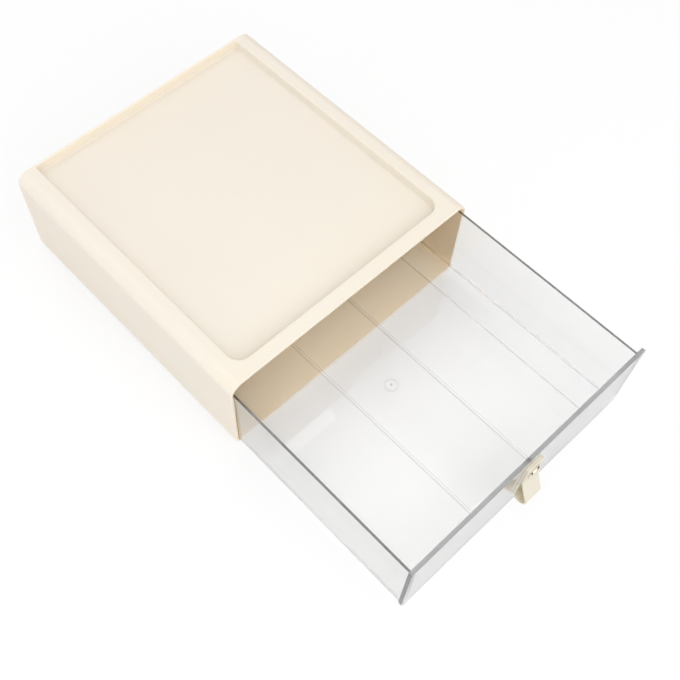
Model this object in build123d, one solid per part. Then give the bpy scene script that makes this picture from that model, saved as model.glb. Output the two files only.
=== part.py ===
"""Stackable drawer box: an open-fronted moulded case, a clear drawer and a riveted loop pull.

Millimetres, +Z up. The origin is the centre of the case's footprint, at the height of the
surface that the feet stand on. -Y is the front, towards which the drawer opens. The drawer
is drawn where the object is at rest, partly pulled out.
"""

from build123d import *
from math import acos, atan2, cos, hypot, pi, radians, sin, sqrt, tan
import os

# Case: outer sizes of the moulded shell, without its feet
case_width = 260.0
case_depth = 275.0
case_height = 93.0
case_wall = 2.0
case_top_radius = 11.0
case_bottom_radius = 4.0
case_back_edge_radius = 1.0
case_front_edge_radius = 0.8

# Recess in the case's top, which takes the feet of the box above
recess_depth = 9.0
recess_side_rim = 18.5
recess_front_rim = 13.0
recess_corner_radius = 12.0
recess_back_corner_radius = 1.5
recess_draft = 5.0
recess_lip_radius = 0.9
recess_floor_radius = 1.2

# Feet moulded under the case
foot_height = 2.5
foot_radius = 6.0
foot_edge = 0.6
stack_clearance = 1.0

# Drawer: the tray behind the front panel
drawer_opening = 184.0
tray_depth = 268.0
tray_wall = 2.0
tray_floor = 2.0
tray_draft = 0.4
tray_back_radius = 7.0
tray_front_radius = 1.5
tray_floor_radius = 4.0
tray_underside_radius = 1.8
tray_rim_radius = 0.4
side_clearance = 0.4
top_clearance = 0.6
slide_gap = 0.2

# Runner ribs under the tray, evenly spaced across it
runner_count = 4
runner_spacing = 68.4
runner_width = 2.4
runner_height = 0.8
runner_end_margin = 5.0

# Front panel, one moulding with the tray; it laps the case's front edge
panel_thickness = 3.4
panel_side_inset = 0.2
panel_base_height = 1.8
panel_top_drop = 4.8
panel_bottom_radius = 9.0
panel_top_radius = 1.5
panel_edge_radius = 0.4

# Gate marks that the mouldings keep at their centres
case_gate_radius = 2.4
case_gate_groove = 0.5
case_gate_depth = 0.2
tray_gate_radius = 6.0
tray_gate_groove = 1.0
tray_gate_depth = 0.5
tray_pip_radius = 0.9
tray_pip_height = 0.5

# Loop pull: one strap folded on itself and riveted through the panel
strap_width = 18.0
strap_thickness = 1.5
strap_top_drop = 10.5
strap_bottom_drop = 63.5
strap_loop_depth = 12.8
strap_pinch_length = 23.0
strap_bend_radius = 9.0
strap_end_radius = 1.6
strap_layer_gap = 0.2
strap_panel_gap = 0.25

# Rivet: a domed cap pressed on a flanged post
rivet_drop = 23.3
rivet_post_radius = 1.7
rivet_hole_clearance = 0.05
rivet_press_clearance = 0.01
rivet_cap_radius = 6.6
rivet_cap_height = 3.6
rivet_cap_skirt = 1.8
rivet_cap_edge = 0.9
rivet_cap_gap = 0.15
rivet_cap_floor = 1.2
rivet_flange_radius = 5.0
rivet_flange_thickness = 1.3
rivet_flange_edge = 0.4
rivet_flange_gap = 0.05

# Places worked out from the sizes above
front = -case_depth / 2
back = case_depth / 2
shell_base = foot_height
shell_top = shell_base + case_height
bay_floor = shell_base + case_wall
bay_width = case_width - 2 * case_wall
bay_back = back - case_wall
recess_floor = shell_top - recess_depth
bay_ceiling = recess_floor - case_wall
recess_half_width = case_width / 2 - recess_side_rim
recess_front = front + recess_front_rim
recess_back = bay_back

tray_base = bay_floor + slide_gap + runner_height
tray_top = bay_ceiling - top_clearance
tray_height = tray_top - tray_base
tray_width = bay_width - 2 * side_clearance
tray_spread = tray_height * tan(radians(tray_draft))

panel_back = front - drawer_opening
panel_front = panel_back - panel_thickness
panel_base = shell_base + panel_base_height
panel_top = shell_top - panel_top_drop
panel_width = case_width - 2 * panel_side_inset
tray_back = panel_back + tray_depth

rivet_z = panel_top - rivet_drop
strap_back_face = panel_front - strap_panel_gap
strap_front_face = strap_back_face - 2 * strap_thickness - strap_layer_gap
cap_base = strap_front_face - rivet_cap_gap


def across_y(profile, start, end):
    """A prism of an XZ profile, from y = start to y = end."""
    plane = Plane(origin=(0, start, 0), x_dir=(1, 0, 0), z_dir=(0, -1, 0))
    return extrude(plane * profile, amount=start - end)


def sleeve_profile(width, base, top, base_radius, top_radius):
    """An upright rectangle with one radius on its lower corners and one on its upper ones."""
    outline = Pos(0, (base + top) / 2) * Rectangle(width, top - base)
    outline = fillet(outline.vertices().group_by(Axis.Y)[-1], top_radius)
    return fillet(outline.vertices().group_by(Axis.Y)[0], base_radius)


def recess_plan(margin, top):
    """The recess seen from above at z = top, grown by a margin on every side."""
    half_width = recess_half_width + margin
    near = recess_front - margin
    far = recess_back + margin
    outline = Pos(0, (near + far) / 2) * Rectangle(2 * half_width, far - near)
    outline = fillet(outline.vertices().group_by(Axis.Y)[-1], recess_back_corner_radius + margin)
    outline = fillet(outline.vertices().group_by(Axis.Y)[0], recess_corner_radius + margin)
    return Pos(0, 0, top) * outline


def gate_ring(radius, groove, depth):
    """The round groove about a trimmed gate, as the solid to cut below z = 0."""
    ring = Circle(radius) - Circle(radius - groove)
    return extrude(ring, amount=-depth)


def foot_places():
    """The four feet, each just inside a corner of the recess of a box below."""
    play = recess_corner_radius - stack_clearance - foot_radius
    inset = recess_corner_radius - play / sqrt(2)
    x = recess_half_width - inset
    near = recess_front + inset
    far = recess_back - inset
    return [(-x, near), (x, near), (-x, far), (x, far)]


def make_foot(x, y):
    """A low round foot that runs up into the floor."""
    foot = Pos(x, y) * extrude(Circle(foot_radius), amount=shell_base + case_wall / 2)
    rim = foot.edges().group_by(Axis.Z)[0]
    return chamfer(rim, foot_edge)


def make_case():
    """The opaque sleeve: closed back, hollow rims and a recessed top, in one wall thickness."""
    outer = sleeve_profile(case_width, shell_base, shell_top, case_bottom_radius, case_top_radius)
    shell = across_y(outer, front, back)
    shell = fillet(shell.faces().sort_by(Axis.Y)[-1].edges(), case_back_edge_radius)

    inner = sleeve_profile(
        bay_width,
        bay_floor,
        shell_top - case_wall,
        case_bottom_radius - case_wall,
        case_top_radius - case_wall,
    )
    bay = across_y(inner, front, bay_back)
    tub_depth = recess_depth + case_wall
    tub = extrude(recess_plan(case_wall, shell_top), amount=-tub_depth, taper=recess_draft)
    shell = shell - (bay - tub)
    shell = fillet(shell.faces().sort_by(Axis.Y)[0].outer_wire().edges(), case_front_edge_radius)

    recess = extrude(recess_plan(0, shell_top), amount=-recess_depth, taper=recess_draft)
    recess = fillet(recess.faces().sort_by(Axis.Z)[0].edges(), recess_floor_radius)
    shell = shell - recess
    lip = shell.faces().filter_by(Axis.Z).sort_by(Axis.Z)[-1].inner_wires()[0].edges()
    shell = fillet(lip, recess_lip_radius)

    for x, y in foot_places():
        shell = shell + make_foot(x, y)
    ring = gate_ring(case_gate_radius, case_gate_groove, case_gate_depth)
    return shell - Pos(0, (recess_front + recess_back) / 2, recess_floor) * ring


def tray_plan(width, near, far, corner_radius):
    """The tray seen from above, with round back corners."""
    outline = Pos(0, (near + far) / 2) * Rectangle(width, far - near)
    return fillet(outline.vertices().group_by(Axis.Y)[-1], corner_radius)


def make_tray():
    """The clear tray behind the panel: drafted walls, a filleted floor and runner ribs."""
    foot_width = tray_width - 2 * tray_spread
    far = tray_back - tray_spread
    plan = tray_plan(foot_width, panel_back, far, tray_back_radius)
    tray = extrude(Pos(0, 0, tray_base) * plan, amount=tray_height, taper=-tray_draft)
    tray = fillet(tray.faces().sort_by(Axis.Z)[0].edges(), tray_underside_radius)

    inner_plan = tray_plan(
        foot_width - 2 * tray_wall, panel_back, far - tray_wall, tray_back_radius - tray_wall
    )
    floor_top = tray_base + tray_floor
    inside = extrude(
        Pos(0, 0, floor_top) * inner_plan, amount=tray_height - tray_floor, taper=-tray_draft
    )
    behind_panel = Pos(0, panel_back + tray_depth / 2, tray_top) * Box(
        case_width, tray_depth, 2 * case_height
    )
    inside = inside & behind_panel
    for side in (0, -1):
        upright = inside.faces().sort_by(Axis.Y)[0].edges().sort_by(Axis.X)[side]
        inside = fillet(upright, tray_front_radius)
    inside = fillet(inside.faces().sort_by(Axis.Z)[0].edges(), tray_floor_radius)
    tray = (tray & behind_panel) - inside

    rim = tray.faces().filter_by(Axis.Z).sort_by(Axis.Z)[-1].edges()
    ends = rim.group_by(Axis.Y)[0]
    tray = fillet([edge for edge in rim if edge not in ends], tray_rim_radius)

    runner_length = tray_depth - 2 * runner_end_margin
    runner_y = panel_back + runner_end_margin + runner_length / 2
    for index in range(runner_count):
        x = (index - (runner_count - 1) / 2) * runner_spacing
        rib = Box(runner_width, runner_length, runner_height + tray_floor / 2)
        top = tray_base + tray_floor / 2
        tray = tray + Pos(x, runner_y, top) * rib.moved(Pos(0, 0, -rib.bounding_box().max.Z))

    gate = Pos(0, panel_back + tray_depth / 2, floor_top)
    tray = tray - gate * gate_ring(tray_gate_radius, tray_gate_groove, tray_gate_depth)
    pip = extrude(Circle(tray_pip_radius), amount=tray_gate_depth + tray_pip_height)
    return tray + gate * Pos(0, 0, -tray_gate_depth) * pip


def make_panel():
    """The drawer's front: a thick plate, wider and taller than the tray, with the rivet hole."""
    outline = sleeve_profile(
        panel_width, panel_base, panel_top, panel_bottom_radius, panel_top_radius
    )
    panel = across_y(outline, panel_front, panel_back)
    panel = fillet(panel.faces().sort_by(Axis.Y)[0].edges(), panel_edge_radius)
    hole = across_y(
        Pos(0, rivet_z) * Circle(rivet_post_radius + rivet_hole_clearance), panel_front, panel_back
    )
    return panel - hole


def make_drawer():
    """Tray and front panel as the one clear moulding that they are."""
    return make_tray() + make_panel()


def strap_path():
    """The strap's middle line in the YZ plane: up the panel, round the loop, back to the rivet."""
    half = strap_thickness / 2
    back_y = strap_back_face - half
    front_y = strap_front_face + half
    top_z = panel_top - strap_top_drop
    radius = strap_loop_depth / 2 - half
    centre_y = back_y - radius
    centre_z = panel_top - strap_bottom_drop + half + radius
    bend_z = top_z - strap_pinch_length

    # The front leg leaves the fold where a line from the bend just touches the fold's circle.
    reach = hypot(centre_y - front_y, centre_z - bend_z)
    towards_bend = atan2(bend_z - centre_z, front_y - centre_y)
    touch = towards_bend + acos(radius / reach)
    touch_point = (centre_y + radius * cos(touch), centre_z + radius * sin(touch))

    back_leg = Line((back_y, top_z), (back_y, centre_z))
    middle = (touch - 2 * pi) / 2
    fold_point = (centre_y + radius * cos(middle), centre_z + radius * sin(middle))
    fold = ThreePointArc((back_y, centre_z), fold_point, touch_point)
    front_leg = FilletPolyline(
        touch_point, (front_y, bend_z), (front_y, top_z), radius=strap_bend_radius
    )
    return back_leg + fold + front_leg


def make_strap():
    """The loop pull, with its two ends one on the other under the rivet."""
    band = Plane.YZ * trace(strap_path(), strap_thickness)
    strap = extrude(band, amount=strap_width / 2, both=True)
    tip_corners = strap.edges().filter_by(Axis.Y).group_by(Axis.Z)[-1]
    strap = fillet(tip_corners, strap_end_radius)
    hole = across_y(
        Pos(0, rivet_z) * Circle(rivet_post_radius + rivet_hole_clearance), cap_base, panel_front
    )
    return strap - hole


def turned_on_rivet(profile):
    """A round piece on the rivet's axis: the profile's x is the radius and its y runs forward."""
    turned = revolve(profile, Axis.Y)
    return Plane(origin=(0, 0, rivet_z), x_dir=(1, 0, 0), z_dir=(0, 0, -1)) * turned


def make_rivet_post():
    """The rivet's inner half: a flange inside the drawer and the post that carries the strap."""
    flange_face = -panel_back - rivet_flange_gap
    flange_back = flange_face - rivet_flange_thickness
    tip = -cap_base + rivet_cap_height - rivet_cap_floor
    outline = Polyline(
        (0, flange_back),
        (rivet_flange_radius, flange_back),
        (rivet_flange_radius, flange_face),
        (rivet_post_radius, flange_face),
        (rivet_post_radius, tip),
        (0, tip),
        close=True,
    )
    post = turned_on_rivet(make_face(outline))
    rim = post.faces().sort_by(Axis.Y)[-1].edges()
    return fillet(rim, rivet_flange_edge)


def make_rivet_cap():
    """The rivet's outer half: a low domed cap with a rounded shoulder and a blind bore."""
    base = -cap_base
    shoulder = base + rivet_cap_skirt
    crown = base + rivet_cap_height
    rise = rivet_cap_height - rivet_cap_skirt
    dome_radius = (rivet_cap_radius**2 + rise**2) / (2 * rise)
    dome_centre = crown - dome_radius
    half_angle = atan2(rivet_cap_radius, shoulder - dome_centre) / 2
    on_dome = (dome_radius * sin(half_angle), dome_centre + dome_radius * cos(half_angle))
    dome_foot = (rivet_cap_radius, shoulder)
    outline = Polyline((0, crown), (0, base), (rivet_cap_radius, base), dome_foot)
    dome = ThreePointArc(dome_foot, on_dome, (0, crown))
    profile = make_face(outline + dome)
    profile = fillet(profile.vertices().sort_by_distance(dome_foot)[0], rivet_cap_edge)
    cap = turned_on_rivet(profile)
    bore_end = cap_base - rivet_cap_height + rivet_cap_floor - rivet_press_clearance
    bore = across_y(
        Pos(0, rivet_z) * Circle(rivet_post_radius + rivet_press_clearance), bore_end, cap_base
    )
    return cap - bore


PIECES = {
    "case_shell": make_case,
    "drawer": make_drawer,
    "pull_strap": make_strap,
    "rivet_post": make_rivet_post,
    "rivet_cap": make_rivet_cap,
}

os.makedirs("parts", exist_ok=True)
for name, make in PIECES.items():
    export_step(make(), f"parts/{name}.step")
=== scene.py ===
"""Looks of the stackable drawer box.

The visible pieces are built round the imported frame: the matt case, the clear drawer, the folded
strap pull and its rivet, on a plain pale floor in soft light. Everything is in metres, in the
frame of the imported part: +Z up, -Y the way the drawer opens.
"""

import logging
import math
from dataclasses import dataclass
from enum import Enum

import bmesh
import bpy
from mathutils import Matrix, Vector


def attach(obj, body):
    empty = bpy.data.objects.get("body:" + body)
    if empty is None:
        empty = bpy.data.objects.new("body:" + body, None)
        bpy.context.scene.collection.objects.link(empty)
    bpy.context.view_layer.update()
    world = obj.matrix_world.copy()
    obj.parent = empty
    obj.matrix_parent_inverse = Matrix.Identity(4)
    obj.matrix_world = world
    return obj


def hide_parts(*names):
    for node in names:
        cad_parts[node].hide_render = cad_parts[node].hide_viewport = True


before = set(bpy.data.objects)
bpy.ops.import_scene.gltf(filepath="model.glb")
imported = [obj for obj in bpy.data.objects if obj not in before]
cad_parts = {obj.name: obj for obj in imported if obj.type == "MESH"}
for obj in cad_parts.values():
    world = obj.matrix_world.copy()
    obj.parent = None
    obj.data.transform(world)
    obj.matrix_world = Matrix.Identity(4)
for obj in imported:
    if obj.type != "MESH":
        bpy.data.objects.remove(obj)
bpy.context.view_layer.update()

log = logging.getLogger("drawer_box")

MM = 0.001

# The display curve: straight below the knee, a power above it.
CHANNEL_TOP = 255
CURVE_KNEE = 0.04045
CURVE_SLOPE = 12.92
CURVE_OFFSET = 0.055
CURVE_POWER = 2.4

Colour = tuple[float, float, float, float]
Place = tuple[float, float, float]


class Body(Enum):
    """The moving bodies that pieces ride on."""

    CASE = "case"
    DRAWER = "drawer"
    PULL = "pull"


class Slot(Enum):
    """The record's material slots."""

    CASE_PLASTIC = "case_plastic"
    CLEAR_PLASTIC = "clear_plastic"
    STRAP = "strap"
    RIVET_METAL = "rivet_metal"


@dataclass(frozen=True)
class Mottle:
    """A soft noise whose middle span is spread over 0 to 1."""

    per_metre: float
    detail: float = 2.0
    roughness: float = 0.5
    low: float = 0.3
    high: float = 0.7


class Signal:
    """A shader value that Python's operators work on."""

    def __init__(self, sheet: "ShaderSheet", socket: bpy.types.NodeSocket) -> None:
        """Wraps one output socket.

        Args:
            sheet: The shader sheet that holds the socket's node.
            socket: The output to work on.
        """
        self.sheet = sheet
        self.socket = socket

    def _join(
        self, operation: str, first: "Signal | float", second: "Signal | float"
    ) -> "Signal":
        """Adds a Math node.

        Args:
            operation: The Math node's operation.
            first: The first value.
            second: The second value.

        Returns:
            The node's result.
        """
        node = self.sheet.add("ShaderNodeMath", {0: first, 1: second}, operation=operation)
        return Signal(self.sheet, node.outputs[0])

    def __add__(self, other: "Signal | float") -> "Signal":
        """Returns this plus other."""
        return self._join("ADD", self, other)

    def __radd__(self, other: float) -> "Signal":
        """Returns other plus this."""
        return self._join("ADD", other, self)

    def __rsub__(self, other: float) -> "Signal":
        """Returns other minus this."""
        return self._join("SUBTRACT", other, self)

    def __mul__(self, other: "Signal | float") -> "Signal":
        """Returns this times other."""
        return self._join("MULTIPLY", self, other)

    def __rmul__(self, other: float) -> "Signal":
        """Returns other times this."""
        return self._join("MULTIPLY", other, self)

    def magnitude(self) -> "Signal":
        """Returns this without its sign."""
        return self._join("ABSOLUTE", self, 0.0)

    def highest(self, other: "Signal | float") -> "Signal":
        """Returns the larger of this and other."""
        return self._join("MAXIMUM", self, other)

    def ramp(self, low: float, high: float) -> "Signal":
        """Spreads the span from low to high over 0 to 1, and clips the rest.

        Args:
            low: The value that becomes 0.
            high: The value that becomes 1.

        Returns:
            The spread value.
        """
        node = self.sheet.add(
            "ShaderNodeMapRange", {"Value": self, "From Min": low, "From Max": high}, clamp=True
        )
        return Signal(self.sheet, node.outputs["Result"])

    def fall(self, low: float, high: float) -> "Signal":
        """Returns the ramp from low to high turned over: 1 below it and 0 above it."""
        return 1 - self.ramp(low, high)


class ShaderSheet:
    """One material's or world's node tree, with one method that adds every node."""

    def __init__(self, name: str, world: bpy.types.World | None = None) -> None:
        """Starts an empty tree.

        Args:
            name: The name of the material that it makes.
            world: The world to dress in place of a new material.
        """
        self.material = world or bpy.data.materials.new(name)
        self.material.use_nodes = True
        self.tree = self.material.node_tree
        self.tree.nodes.clear()
        self.output = self.add("ShaderNodeOutputWorld" if world else "ShaderNodeOutputMaterial")

    def add(
        self, kind: str, inputs: dict[object, object] | None = None, **settings: object
    ) -> bpy.types.Node:
        """Adds a node.

        Args:
            kind: The node's type.
            inputs: Values or links, by input name or number.
            **settings: Its properties, which are set before the inputs.

        Returns:
            The node.
        """
        node = self.tree.nodes.new(kind)
        for key, value in settings.items():
            setattr(node, key, value)
        for key, value in (inputs or {}).items():
            if isinstance(value, Signal):
                self.tree.links.new(value.socket, node.inputs[key])
            elif isinstance(value, bpy.types.NodeSocket):
                self.tree.links.new(value, node.inputs[key])
            else:
                node.inputs[key].default_value = value
        return node

    def show(self, shader: bpy.types.Node, filling: bpy.types.Node | None = None) -> None:
        """Makes a shader the material's surface.

        Args:
            shader: The surface's shader.
            filling: The shader of what lies inside the surface, if that isn't empty.
        """
        self.tree.links.new(shader.outputs[0], self.output.inputs["Surface"])
        if filling:
            self.tree.links.new(filling.outputs[0], self.output.inputs["Volume"])

    def blend_shaders(
        self, share: Signal | float, first: bpy.types.Node, second: bpy.types.Node
    ) -> bpy.types.Node:
        """Mixes two shaders.

        Args:
            share: 0 gives the first and 1 the second.
            first: The first shader.
            second: The second shader.

        Returns:
            The mixed shader.
        """
        return self.add(
            "ShaderNodeMixShader", {0: share, 1: first.outputs[0], 2: second.outputs[0]}
        )

    def let_light_through(
        self, shader: bpy.types.Node, colour: Colour, share: float
    ) -> bpy.types.Node:
        """Lets a thin wall glow with the light that falls on its other side.

        Args:
            shader: The wall's own shader.
            colour: The colour of the light that comes through.
            share: How much of the light comes through.

        Returns:
            The mixed shader.
        """
        through = self.add("ShaderNodeBsdfTranslucent", {"Color": colour})
        return self.blend_shaders(share, shader, through)

    def place(self) -> bpy.types.NodeSocket:
        """Returns the Object coordinates, which are the part's own metres."""
        return self.add("ShaderNodeTexCoord").outputs["Object"]

    def away_from(self, centre: Place) -> Signal:
        """Measures how far a point of the part lies from a centre.

        Args:
            centre: The centre, in the part's own metres.

        Returns:
            The distance in metres.
        """
        node = self.add(
            "ShaderNodeVectorMath", {0: self.place(), 1: centre}, operation="DISTANCE"
        )
        return Signal(self, node.outputs["Value"])

    def along(self, axis: str) -> Signal:
        """Reads one of the part's own coordinates.

        Args:
            axis: "X", "Y" or "Z".

        Returns:
            The coordinate in metres.
        """
        apart = self.add("ShaderNodeSeparateXYZ", {0: self.place()})
        return Signal(self, apart.outputs[axis])

    def noise(self, per_metre: float, detail: float = 2.0, roughness: float = 0.5) -> Signal:
        """Adds a noise over the part's own coordinates.

        Args:
            per_metre: How many features lie in a metre.
            detail: The noise's octaves.
            roughness: How strong the finer octaves are.

        Returns:
            The noise, about 0.5.
        """
        node = self.add(
            "ShaderNodeTexNoise",
            {
                "Vector": self.place(),
                "Scale": per_metre,
                "Detail": detail,
                "Roughness": roughness,
            },
        )
        return Signal(self, node.outputs["Fac"])

    def mottle(self, kind: Mottle) -> Signal:
        """Adds a mottle over the part.

        Args:
            kind: The mottle's sizes.

        Returns:
            The mottle, 0 to 1.
        """
        noise = self.noise(kind.per_metre, kind.detail, kind.roughness)
        return noise.ramp(kind.low, kind.high)

    def blend_colours(
        self,
        share: Signal,
        first: Colour | bpy.types.NodeSocket,
        second: Colour | bpy.types.NodeSocket,
    ) -> bpy.types.NodeSocket:
        """Mixes two colours.

        Args:
            share: 0 gives the first and 1 the second.
            first: A linear colour with alpha, or a colour output.
            second: A linear colour with alpha, or a colour output.

        Returns:
            The mixed colour.
        """
        node = self.add("ShaderNodeMix", {0: share, 6: first, 7: second}, data_type="RGBA")
        return node.outputs[2]

    def bump(self, height: Signal, strength: float, distance: float) -> bpy.types.NodeSocket:
        """Turns a height into a normal.

        Args:
            height: The height, 0 to 1.
            strength: How much of it shows.
            distance: What a height of 1 stands for, in metres.

        Returns:
            The bumped normal.
        """
        node = self.add(
            "ShaderNodeBump", {"Height": height, "Strength": strength, "Distance": distance}
        )
        return node.outputs["Normal"]


class Rays:
    """Which kind of ray asks: one that the camera sends, one through glass, or one mirrored."""

    def __init__(self, sheet: ShaderSheet) -> None:
        """Reads the kinds from a Light Path node.

        Args:
            sheet: The tree that asks.
        """
        path = sheet.add("ShaderNodeLightPath")
        self.seen = Signal(sheet, path.outputs["Is Camera Ray"])
        self.through_glass = Signal(sheet, path.outputs["Is Transmission Ray"])
        self.mirrored = Signal(sheet, path.outputs["Is Glossy Ray"]) * (1 - self.through_glass)


def linear(red: int, green: int, blue: int) -> Colour:
    """Turns display values into a linear colour.

    Args:
        red: Red, 0 to 255.
        green: Green, 0 to 255.
        blue: Blue, 0 to 255.

    Returns:
        The linear colour with an alpha of 1.
    """

    def one(value: int) -> float:
        """Turns one display value into a linear one."""
        share = value / CHANNEL_TOP
        if share <= CURVE_KNEE:
            return share / CURVE_SLOPE
        return ((share + CURVE_OFFSET) / (1 + CURVE_OFFSET)) ** CURVE_POWER

    return (one(red), one(green), one(blue), 1.0)


@dataclass(frozen=True)
class MouldedPlastic:
    """The case's opaque plastic: matt, with a fine grain and faint flow tones.

    The walls that face the bay are painted a little yellower than the outside: painted warm light
    of the bay. The thin walls let some warm light through.
    """

    pale: Colour = linear(249, 251, 244)
    deep: Colour = linear(248, 249, 240)
    # The bay colour is painted light: the walls facing the bay are tinted yellower for the warm
    # light inside it.
    bay_painted_glow: Colour = linear(252, 246, 226)
    bay_half_width: float = 129.0 * MM
    bay_half_depth: float = 136.5 * MM
    bay_bottom: float = 4.0 * MM
    bay_top: float = 85.5 * MM
    bay_blur: float = 0.2 * MM
    let_through: Colour = linear(255, 214, 110)
    let_through_share: float = 0.27
    roughness: float = 0.42
    roughness_play: float = 0.1
    refraction: float = 1.49
    flow: Mottle = Mottle(7.0, detail=3.0, roughness=0.6)
    grain_per_metre: float = 1500.0
    grain_height: float = 0.04 * MM
    grain_strength: float = 0.25

    def material(self) -> bpy.types.Material:
        """Builds the material.

        Returns:
            The finished material.
        """
        sheet = ShaderSheet("case_plastic")
        grain = sheet.noise(self.grain_per_metre)
        colour = sheet.blend_colours(sheet.mottle(self.flow), self.pale, self.deep)
        # The walls that face the bay get the painted warm light colour.
        shader = sheet.add(
            "ShaderNodeBsdfPrincipled",
            {
                "Base Color": sheet.blend_colours(self._painted_glow_in_bay(sheet), colour, self.bay_painted_glow),
                "Roughness": self.roughness + self.roughness_play * grain,
                "IOR": self.refraction,
                "Normal": sheet.bump(grain, self.grain_strength, self.grain_height),
            },
        )
        sheet.show(sheet.let_light_through(shader, self.let_through, self.let_through_share))
        return sheet.material

    def _painted_glow_in_bay(self, sheet: ShaderSheet) -> Signal:
        """Marks the walls that face the bay, where warm light is painted.

        Args:
            sheet: The tree that asks.

        Returns:
            1 in the bay and 0 outside it.
        """
        blur = self.bay_blur
        height = sheet.along("Z")
        inside = height.ramp(self.bay_bottom - blur, self.bay_bottom + blur)
        inside *= height.fall(self.bay_top - blur, self.bay_top + blur)
        for axis, half in (("X", self.bay_half_width), ("Y", self.bay_half_depth)):
            inside *= sheet.along(axis).magnitude().fall(half - blur, half + blur)
        return inside


@dataclass(frozen=True)
class ClearPlastic:
    """The drawer's clear plastic: glossy, faintly hazed and very slightly grey in depth.

    The floor's gate ring has a dull groove with a cut pip, both tinted darker as painted shade for
    the dark edges that their walls refract. The panel's top edge, where the mould parts, is
    frosted, and its bottom edge is tinted grey as painted shade where it meets the floor. Some
    light passes straight through, more of it at the bottom corners, which would otherwise show a
    black line.
    """

    tint: Colour = (0.982, 0.981, 0.977, 1.0)
    haze_tint: Colour = (0.97, 0.969, 0.963, 1.0)
    roughness: float = 0.02
    roughness_play: float = 0.02
    refraction: float = 1.5
    straight_share: float = 0.07
    straight_tint: Colour = (0.965, 0.965, 0.965, 1.0)
    depth_colour: Colour = (0.3, 0.3, 0.31, 1.0)
    depth_density: float = 8.5
    flow: Mottle = Mottle(12.0)
    gate_centre: Place = (0.0, -187.5 * MM, 7.5 * MM)
    gate_radius: float = 6.0 * MM
    gate_line: float = 0.9 * MM
    # The gate groove's and pip's darker tints are painted shade for the dark edges that their
    # walls refract.
    gate_painted_shade: Colour = (0.86, 0.86, 0.85, 1.0)
    pip_radius: float = 1.1 * MM
    pip_core: float = 0.77 * MM
    pip_painted_shade: Colour = (0.45, 0.45, 0.43, 1.0)
    corner_from: float = 117.5 * MM
    corner_top: float = 14.0 * MM
    corner_fade: float = 0.5 * MM
    corner_straight: float = 0.55
    frost: float = 0.25
    frost_from: float = 90.1 * MM
    frost_fade: float = 0.2 * MM
    foot_below: float = 5.6 * MM
    foot_below_fade: float = 0.3 * MM
    foot_before: float = -321.0 * MM
    foot_before_fade: float = 0.5 * MM
    # The panel foot's grey is painted shade where the panel meets the floor.
    foot_painted_shade: Colour = (0.7, 0.7, 0.71, 1.0)

    def material(self) -> bpy.types.Material:
        """Builds the material, which lets lamps through to what lies behind it.

        Returns:
            The finished material.
        """
        sheet = ShaderSheet("clear_plastic")
        flow = sheet.mottle(self.flow)
        from_gate = sheet.away_from(self.gate_centre)
        groove = from_gate.ramp(
            self.gate_radius - self.gate_line, self.gate_radius
        ) * from_gate.fall(self.gate_radius, self.gate_radius + self.gate_line)
        pip = from_gate.fall(self.pip_core, self.pip_radius)
        frosted = sheet.along("Z").ramp(self.frost_from, self.frost_from + self.frost_fade)
        foot_shade_mask = sheet.along("Z").fall(
            self.foot_below - self.foot_below_fade, self.foot_below
        ) * sheet.along("Y").fall(self.foot_before, self.foot_before + self.foot_before_fade)
        colour = sheet.blend_colours(flow, self.tint, self.haze_tint)
        # The groove, the pip and the panel's foot are tinted darker: painted shade.
        for shade_mask, tint in (
            (groove, self.gate_painted_shade),
            (pip, self.pip_painted_shade),
            (foot_shade_mask, self.foot_painted_shade),
        ):
            colour = sheet.blend_colours(shade_mask, colour, tint)
        dull = self.roughness + self.roughness_play * flow + self.frost * groove.highest(frosted)
        glass = sheet.add(
            "ShaderNodeBsdfPrincipled",
            {
                "Base Color": colour,
                "Roughness": dull,
                "IOR": self.refraction,
                "Transmission Weight": 1.0,
            },
        )
        straight = sheet.add("ShaderNodeBsdfTransparent", {"Color": self.straight_tint})
        depth = sheet.add(
            "ShaderNodeVolumeAbsorption",
            {"Color": self.depth_colour, "Density": self.depth_density},
        )
        sheet.show(sheet.blend_shaders(self._straight_through(sheet), glass, straight), depth)
        return sheet.material

    def _straight_through(self, sheet: ShaderSheet) -> Signal:
        """Says how much light goes straight through: all of a lamp's, and a share of the rest.

        Args:
            sheet: The tree that asks.

        Returns:
            The share, 0 to 1.
        """
        corner = sheet.along("X").magnitude().ramp(
            self.corner_from, self.corner_from + self.corner_fade
        ) * sheet.along("Z").fall(self.corner_top - self.corner_fade, self.corner_top)
        path = sheet.add("ShaderNodeLightPath")
        towards_lamp = Signal(sheet, path.outputs["Is Shadow Ray"])
        return towards_lamp.highest(self.straight_share).highest(corner * self.corner_straight)


@dataclass(frozen=True)
class StrapHide:
    """The pull's strap: a cream coated hide with a soft pore grain."""

    pale: Colour = linear(237, 234, 224)
    deep: Colour = linear(233, 228, 215)
    let_through: Colour = linear(245, 228, 130)
    let_through_share: float = 0.22
    roughness: float = 0.5
    roughness_play: float = 0.1
    tone: Mottle = Mottle(60.0, detail=3.0)
    pores_per_metre: float = 900.0
    pore_edge: float = 0.25
    pore_height: float = 0.08 * MM
    pore_strength: float = 0.35

    def material(self) -> bpy.types.Material:
        """Builds the material.

        Returns:
            The finished material.
        """
        sheet = ShaderSheet("strap_hide")
        tone = sheet.mottle(self.tone)
        pores = sheet.add(
            "ShaderNodeTexVoronoi",
            {"Vector": sheet.place(), "Scale": self.pores_per_metre},
            feature="DISTANCE_TO_EDGE",
        )
        cells = Signal(sheet, pores.outputs["Distance"]).ramp(0.0, self.pore_edge)
        shader = sheet.add(
            "ShaderNodeBsdfPrincipled",
            {
                "Base Color": sheet.blend_colours(tone, self.pale, self.deep),
                "Roughness": self.roughness + self.roughness_play * tone,
                "Normal": sheet.bump(cells, self.pore_strength, self.pore_height),
            },
        )
        sheet.show(sheet.let_light_through(shader, self.let_through, self.let_through_share))
        return sheet.material


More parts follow.
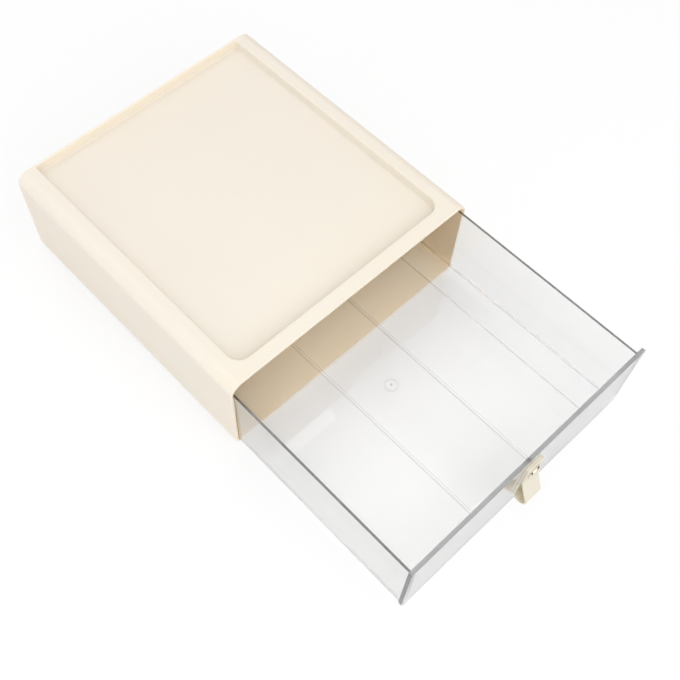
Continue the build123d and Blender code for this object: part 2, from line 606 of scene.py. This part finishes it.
@dataclass(frozen=True)
class PlatedMetal:
    """The rivet's pale gold plating, polished, with faint wear."""

    bright: Colour = linear(252, 246, 230)
    worn: Colour = linear(246, 238, 215)
    roughness: float = 0.03
    roughness_play: float = 0.04
    wear: Mottle = Mottle(420.0, detail=3.0, low=0.35)

    def material(self) -> bpy.types.Material:
        """Builds the material.

        Returns:
            The finished material.
        """
        sheet = ShaderSheet("plated_metal")
        wear = sheet.mottle(self.wear)
        shader = sheet.add(
            "ShaderNodeBsdfPrincipled",
            {
                "Base Color": sheet.blend_colours(wear, self.bright, self.worn),
                "Metallic": 1.0,
                "Roughness": self.roughness + self.roughness_play * wear,
            },
        )
        sheet.show(shader)
        return sheet.material


@dataclass(frozen=True)
class Workshop:
    """Makes finished pieces: it names them, dresses them and sets them on their bodies."""

    weld_gap: float = 0.002 * MM
    flat_degrees: float = 0.3
    sharp_degrees: float = 35.0
    corner_degrees: float = 60.0
    round_steps: int = 3
    round_profile: float = 0.5
    large_face_weight: int = 100

    def finish_piece(
        self,
        piece: bpy.types.Object,
        body: Body,
        material: bpy.types.Material,
        node: str,
    ) -> None:
        """Dresses one piece and sets it on its body in place of its CAD node.

        Args:
            piece: The piece.
            body: The body that it rides on.
            material: Its material.
            node: The CAD node that it stands for.
        """
        piece.data.materials.clear()
        piece.data.materials.append(material)
        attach(piece, body.value)
        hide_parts(node)
        log.info("%s rides on %s, %d faces", piece.name, body.value, len(piece.data.polygons))

    def smooth_copy(self, node: str, name: str, edge_round: float = 0.0) -> bpy.types.Object:
        """Copies a CAD node's shape as one closed mesh with smooth shading.

        Its flats become single faces, so that their area keeps their shading flat.

        Args:
            node: The CAD node.
            name: The new piece's name.
            edge_round: The radius that its corners are rounded to, in metres.

        Returns:
            The new piece.
        """
        mesh = bpy.data.meshes.new(name)
        form = bmesh.new()
        form.from_mesh(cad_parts[node].data)
        bmesh.ops.remove_doubles(form, verts=form.verts, dist=self.weld_gap)
        bmesh.ops.dissolve_limit(
            form,
            angle_limit=math.radians(self.flat_degrees),
            verts=form.verts,
            edges=form.edges,
        )
        if edge_round:
            self._round_corners(form, edge_round)
        for face in form.faces:
            face.smooth = True
        form.to_mesh(mesh)
        form.free()
        mesh.set_sharp_from_angle(angle=math.radians(self.sharp_degrees))
        piece = bpy.data.objects.new(name, mesh)
        bpy.context.scene.collection.objects.link(piece)
        weigh = piece.modifiers.new("flats_stay_flat", "WEIGHTED_NORMAL")
        weigh.keep_sharp = True
        weigh.weight = self.large_face_weight
        return piece

    def _round_corners(self, form: bmesh.types.BMesh, radius: float) -> None:
        """Rounds the edges between faces that meet at a steep angle.

        Args:
            form: The shape, which is changed.
            radius: The radius in metres.
        """
        steep = math.radians(self.corner_degrees)
        bmesh.ops.bevel(
            form,
            geom=[edge for edge in form.edges if edge.calc_face_angle(0.0) > steep],
            offset=radius,
            offset_type="OFFSET",
            affect="EDGES",
            segments=self.round_steps,
            profile=self.round_profile,
            material=-1,
            clamp_overlap=True,
        )


@dataclass(frozen=True)
class Case:
    """The opaque sleeve with its recessed top."""

    finish: MouldedPlastic = MouldedPlastic()

    def build(self, shop: Workshop) -> None:
        """Builds and dresses the case.

        Args:
            shop: Makes the pieces.
        """
        shell = shop.smooth_copy("case_shell", "case_moulding")
        plastic = self.finish.material()
        shop.finish_piece(shell, Body.CASE, plastic, "case_shell")


@dataclass(frozen=True)
class Drawer:
    """The clear drawer with its front panel."""

    finish: ClearPlastic = ClearPlastic()

    def build(self, shop: Workshop) -> None:
        """Builds and dresses the drawer.

        Args:
            shop: Makes the pieces.
        """
        tray = shop.smooth_copy("drawer", "drawer_moulding")
        plastic = self.finish.material()
        shop.finish_piece(tray, Body.DRAWER, plastic, "drawer")


@dataclass(frozen=True)
class Pull:
    """The folded strap and its two-part rivet."""

    hide: StrapHide = StrapHide()
    metal: PlatedMetal = PlatedMetal()
    strap_edge_round: float = 0.3 * MM

    def build(self, shop: Workshop) -> None:
        """Builds and dresses the pull.

        Args:
            shop: Makes the pieces.
        """
        strap = shop.smooth_copy("pull_strap", "strap_loop", self.strap_edge_round)
        shop.finish_piece(strap, Body.PULL, self.hide.material(), "pull_strap")
        metal = self.metal.material()
        for node, name in (("rivet_cap", "rivet_dome"), ("rivet_post", "rivet_flange")):
            half = shop.smooth_copy(node, name)
            shop.finish_piece(half, Body.DRAWER, metal, node)


@dataclass(frozen=True)
class SoftLamp:
    """A soft lamp that points at the box."""

    name: str
    watts: float
    size: float
    place: Place
    height: float = 0.0
    aim: Place = (0.0, -0.1, 0.04)

    def hang(self) -> None:
        """Hangs the lamp, square unless it has a height of its own."""
        lamp = bpy.data.lights.new(self.name, "AREA")
        lamp.shape = "RECTANGLE"
        lamp.size = self.size
        lamp.size_y = self.height or self.size
        lamp.energy = self.watts
        hung = bpy.data.objects.new(self.name, lamp)
        hung.location = self.place
        towards = Vector(self.aim) - Vector(self.place)
        hung.rotation_euler = towards.to_track_quat("-Z", "Y").to_euler()
        bpy.context.scene.collection.objects.link(hung)


@dataclass(frozen=True)
class Studio:
    """The plain pale floor, the soft light and the camera.

    The camera's place, aim and lens were fitted to the photograph's straight edges. The room's
    horizon is given as sines of the elevation.
    """

    floor_half: float = 12.0
    floor_colour: Colour = (0.87, 0.87, 0.87, 1.0)
    floor_white_seen: float = 0.7
    floor_white_through_glass: float = 0.1
    floor_mirrored: float = 0.85
    world_light: float = 0.81
    world_colour: Colour = (1.0, 1.0, 1.0, 1.0)
    horizon_bottom: float = 0.04
    horizon_full_to: float = 0.56
    horizon_top: float = 0.8
    key: SoftLamp = SoftLamp("soft_key", 4.0, 1.2, (0.0, 0.9, 1.5))
    fill: SoftLamp = SoftLamp("soft_fill", 18.0, 2.0, (-0.35, -1.4, 1.4))
    strip: SoftLamp = SoftLamp("soft_strip", 2.6, 0.9, (-1.5, 0.0, 0.3), 0.4)
    camera_place: Place = (-0.30844, -0.40359, 0.71641)
    camera_aim: Place = (-0.05160, -0.14662, 0.05)
    camera_roll: float = 1.996
    sensor_width: float = 36.0
    lens: float = 49.848
    shift: tuple[float, float] = (0.03687, 0.03822)

    def build(self) -> None:
        """Builds floor, light and camera."""
        self._floor()
        self._world()
        for lamp in (self.key, self.fill, self.strip):
            lamp.hang()
        self._camera()

    def _floor(self) -> None:
        """Lays the floor, white to the camera apart from the shadow that it holds."""
        form = bmesh.new()
        bmesh.ops.create_grid(form, x_segments=1, y_segments=1, size=self.floor_half)
        mesh = bpy.data.meshes.new("studio_floor")
        form.to_mesh(mesh)
        form.free()
        floor = bpy.data.objects.new("studio_floor", mesh)
        bpy.context.scene.collection.objects.link(floor)
        sheet = ShaderSheet("studio_floor")
        matt = sheet.add("ShaderNodeBsdfDiffuse", {"Color": self.floor_colour})
        rays = Rays(sheet)
        strength = 1 - rays.mirrored * (1 - self.floor_mirrored)
        glow = sheet.add("ShaderNodeEmission", {"Strength": strength})
        seen = rays.seen * self.floor_white_seen
        white = seen.highest(rays.through_glass * self.floor_white_through_glass)
        sheet.show(sheet.blend_shaders(white.highest(rays.mirrored), matt, glow))
        mesh.materials.append(sheet.material)

    def _world(self) -> None:
        """Lights the room evenly, shows it white, and gives metal a dark horizon to mirror."""
        world = bpy.data.worlds.new("studio_room")
        bpy.context.scene.world = world
        sheet = ShaderSheet("studio_room", world)
        rays = Rays(sheet)
        direction = sheet.add("ShaderNodeTexCoord").outputs["Generated"]
        apart = sheet.add("ShaderNodeSeparateXYZ", {0: direction})
        height = Signal(sheet, apart.outputs["Z"])
        shade = height.ramp(0.0, self.horizon_bottom) * height.fall(
            self.horizon_full_to, self.horizon_top
        )
        white = rays.seen.highest(rays.through_glass).highest(rays.mirrored)
        strength = white * (1 - shade * rays.mirrored) + (1 - white) * self.world_light
        sheet.show(
            sheet.add("ShaderNodeBackground", {"Color": self.world_colour, "Strength": strength})
        )

    def _camera(self) -> None:
        """Sets the camera at the photograph's viewpoint."""
        lens = bpy.data.cameras.new("camera")
        lens.sensor_width = self.sensor_width
        lens.lens = self.lens
        lens.shift_x, lens.shift_y = self.shift
        camera = bpy.data.objects.new("camera", lens)
        place = Vector(self.camera_place)
        aim = (Vector(self.camera_aim) - place).to_track_quat("-Z", "Y").to_matrix()
        roll = Matrix.Rotation(math.radians(self.camera_roll), 3, "Z")
        camera.matrix_world = Matrix.Translation(place) @ (aim @ roll).to_4x4()
        bpy.context.scene.collection.objects.link(camera)
        bpy.context.scene.camera = camera


def main() -> None:
    """Builds the whole scene."""
    logging.basicConfig(level=logging.INFO, format="%(name)s: %(message)s")
    bpy.context.scene.view_settings.view_transform = "Standard"
    shop = Workshop()
    for part in (Case(), Drawer(), Pull()):
        part.build(shop)
    Studio().build()


if __name__ == "__main__":
    main()
